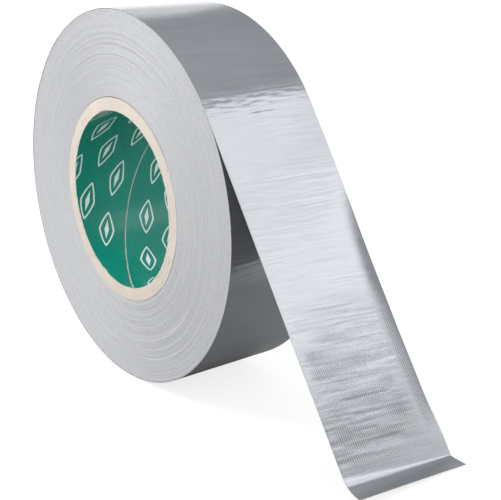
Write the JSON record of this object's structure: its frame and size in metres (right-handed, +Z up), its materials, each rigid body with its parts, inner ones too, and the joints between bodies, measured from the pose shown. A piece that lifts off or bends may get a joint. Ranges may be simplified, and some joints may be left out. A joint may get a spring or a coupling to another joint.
{
  "type": "duct tape roll",
  "caption": "Wide roll of silver cloth duct tape wound on a spiral paper core, standing on its rim with its free end peeled down and curled out on the surface.",
  "frame": {"origin": "centre of the part's footprint, on the surface that it stands on", "axes": "X along the roll's axis, -Y towards the free end, +Z up"},
  "size_m": [0.05, 0.2298, 0.1593],
  "materials": {
    "film": "satin silver-grey polyethylene film with a soft metallic sheen",
    "scrim": "fine open cotton and polyester gauze",
    "adhesive": "tacky grey rubber adhesive",
    "winding": "cut edges of the wound tape, matte light grey with fine rings",
    "liner": null,
    "board": "cut edge of grey-brown paperboard",
    "kraft": "brown kraft paper"
  },
  "bodies": {
    "roll": {"core_liner": "liner", "core_board_1": "board", "core_board_2": "board", "core_board_3": "board", "core_board_4": "board", "core_board_5": "board", "core_outer_ply": "kraft", "winding": "winding", "film_on_roll": "film", "scrim_on_roll": "scrim", "adhesive_on_roll": "adhesive"},
    "tail_1": {"film_tail_1": "film", "scrim_tail_1": "scrim", "adhesive_tail_1": "adhesive"},
    "tail_2": {"film_tail_2": "film", "scrim_tail_2": "scrim", "adhesive_tail_2": "adhesive"},
    "tail_3": {"film_tail_3": "film", "scrim_tail_3": "scrim", "adhesive_tail_3": "adhesive"},
    "tail_4": {"film_tail_4": "film", "scrim_tail_4": "scrim", "adhesive_tail_4": "adhesive"},
    "tail_5": {"film_tail_5": "film", "scrim_tail_5": "scrim", "adhesive_tail_5": "adhesive"},
    "tip": {"film_tip": "film", "scrim_tip": "scrim", "adhesive_tip": "adhesive"}
  },
  "joints": [
    {"name": "tail_lift", "type": "hinge", "parent": "roll", "child": "tail_1", "pos_m": [0, -0.03201, 0.12231], "axis": [-1, 0, 0], "range_deg": [0, 45]},
    {"name": "tail_lift_2", "type": "hinge", "parent": "tail_1", "child": "tail_2", "pos_m": [0, -0.04705, 0.0986], "axis": [-1, 0, 0], "range_deg": [0, 36]},
    {"name": "tail_lift_3", "type": "hinge", "parent": "tail_2", "child": "tail_3", "pos_m": [0, -0.06209, 0.0749], "axis": [-1, 0, 0], "range_deg": [0, 27]},
    {"name": "tail_curl", "type": "hinge", "parent": "tail_3", "child": "tail_4", "pos_m": [0, -0.07713, 0.0512], "axis": [-1, 0, 0], "range_deg": [-15, 40]},
    {"name": "tail_curl_2", "type": "hinge", "parent": "tail_4", "child": "tail_5", "pos_m": [0, -0.09218, 0.02749], "axis": [-1, 0, 0], "range_deg": [-15, 40]},
    {"name": "tip_fold", "type": "hinge", "parent": "tail_5", "child": "tip", "pos_m": [0, -0.10722, 0.00379], "axis": [-1, 0, 0], "range_deg": [-55, 45]}
  ],
  "couplings": [
    {"joint": "tail_lift_2", "follows": "tail_lift", "ratio": 0.8},
    {"joint": "tail_lift_3", "follows": "tail_lift", "ratio": 0.6},
    {"joint": "tail_curl_2", "follows": "tail_curl", "ratio": 1}
  ]
}
